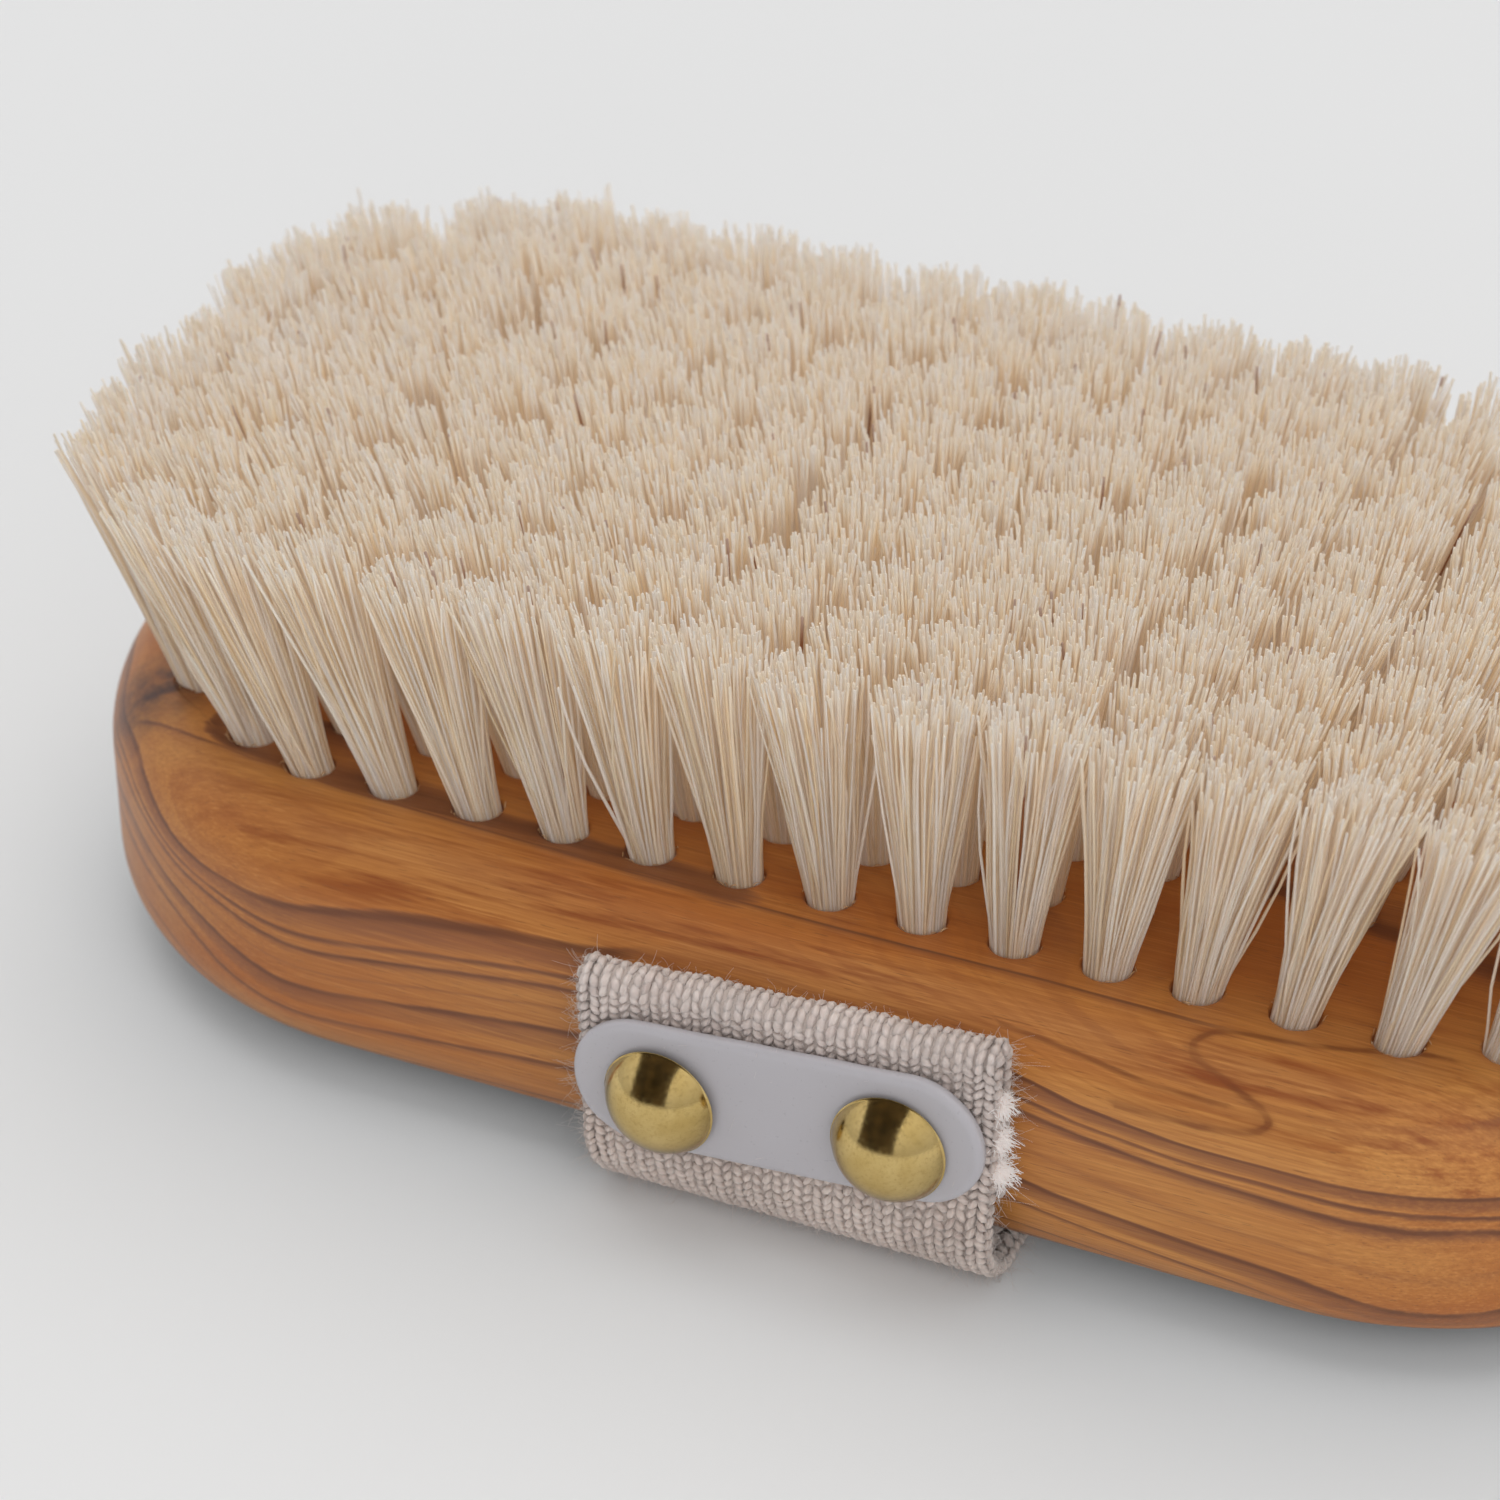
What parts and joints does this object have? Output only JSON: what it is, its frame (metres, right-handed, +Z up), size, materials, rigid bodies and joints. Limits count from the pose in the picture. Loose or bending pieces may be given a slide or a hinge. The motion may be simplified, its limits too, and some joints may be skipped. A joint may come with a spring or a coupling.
{
  "type": "body dry brush",
  "caption": "Oval wooden body brush with drilled bristle tufts on top and a webbing hand strap under its flat back, held on each long side by a stadium plate and dome nails.",
  "frame": {"origin": "on the flat underside of the strap, below the middle of the brush, where it rests on the ground", "axes": "+X along the brush, +Y across it away from the front side, +Z up, from the back towards the bristle tips"},
  "size_m": [0.149, 0.0934, 0.0463],
  "materials": {
    "olive_wood": "satin oiled olive wood with long dark grain",
    "bristle": "natural ivory bristle, slightly translucent",
    "webbing": "undyed cotton webbing, ribbed and a little fuzzy",
    "white_plastic": "smooth white, softly glossy",
    "brass": "polished domes, lightly pitted"
  },
  "bodies": {
    "brush": {"wooden_block": "olive_wood", "bristle_row_01": "bristle", "bristle_row_02": "bristle", "bristle_row_03": "bristle", "bristle_row_04": "bristle", "bristle_row_05": "bristle", "bristle_row_06": "bristle", "bristle_row_07": "bristle", "bristle_row_08": "bristle", "bristle_row_09": "bristle", "bristle_row_10": "bristle", "bristle_row_11": "bristle", "bristle_row_12": "bristle", "bristle_row_13": "bristle", "bristle_row_14": "bristle", "bristle_row_15": "bristle", "bristle_row_16": "bristle", "bristle_row_17": "bristle", "front_plate": "white_plastic", "front_left_nail": "brass", "front_right_nail": "brass", "back_plate": "white_plastic", "back_left_nail": "brass", "back_right_nail": "brass", "strap_front_end": "webbing", "strap_front_run": "webbing", "strap_back_end": "webbing", "strap_back_run": "webbing"},
    "strap": {"strap_palm": "webbing"}
  },
  "joints": [
    {"name": "strap_lift", "type": "slide", "parent": "brush", "child": "strap", "axis": [0, 0, -1], "range_m": [0, 0.014], "stiffness_N_per_m": 200, "deforming": ["strap_front_run", "strap_back_run"]}
  ]
}
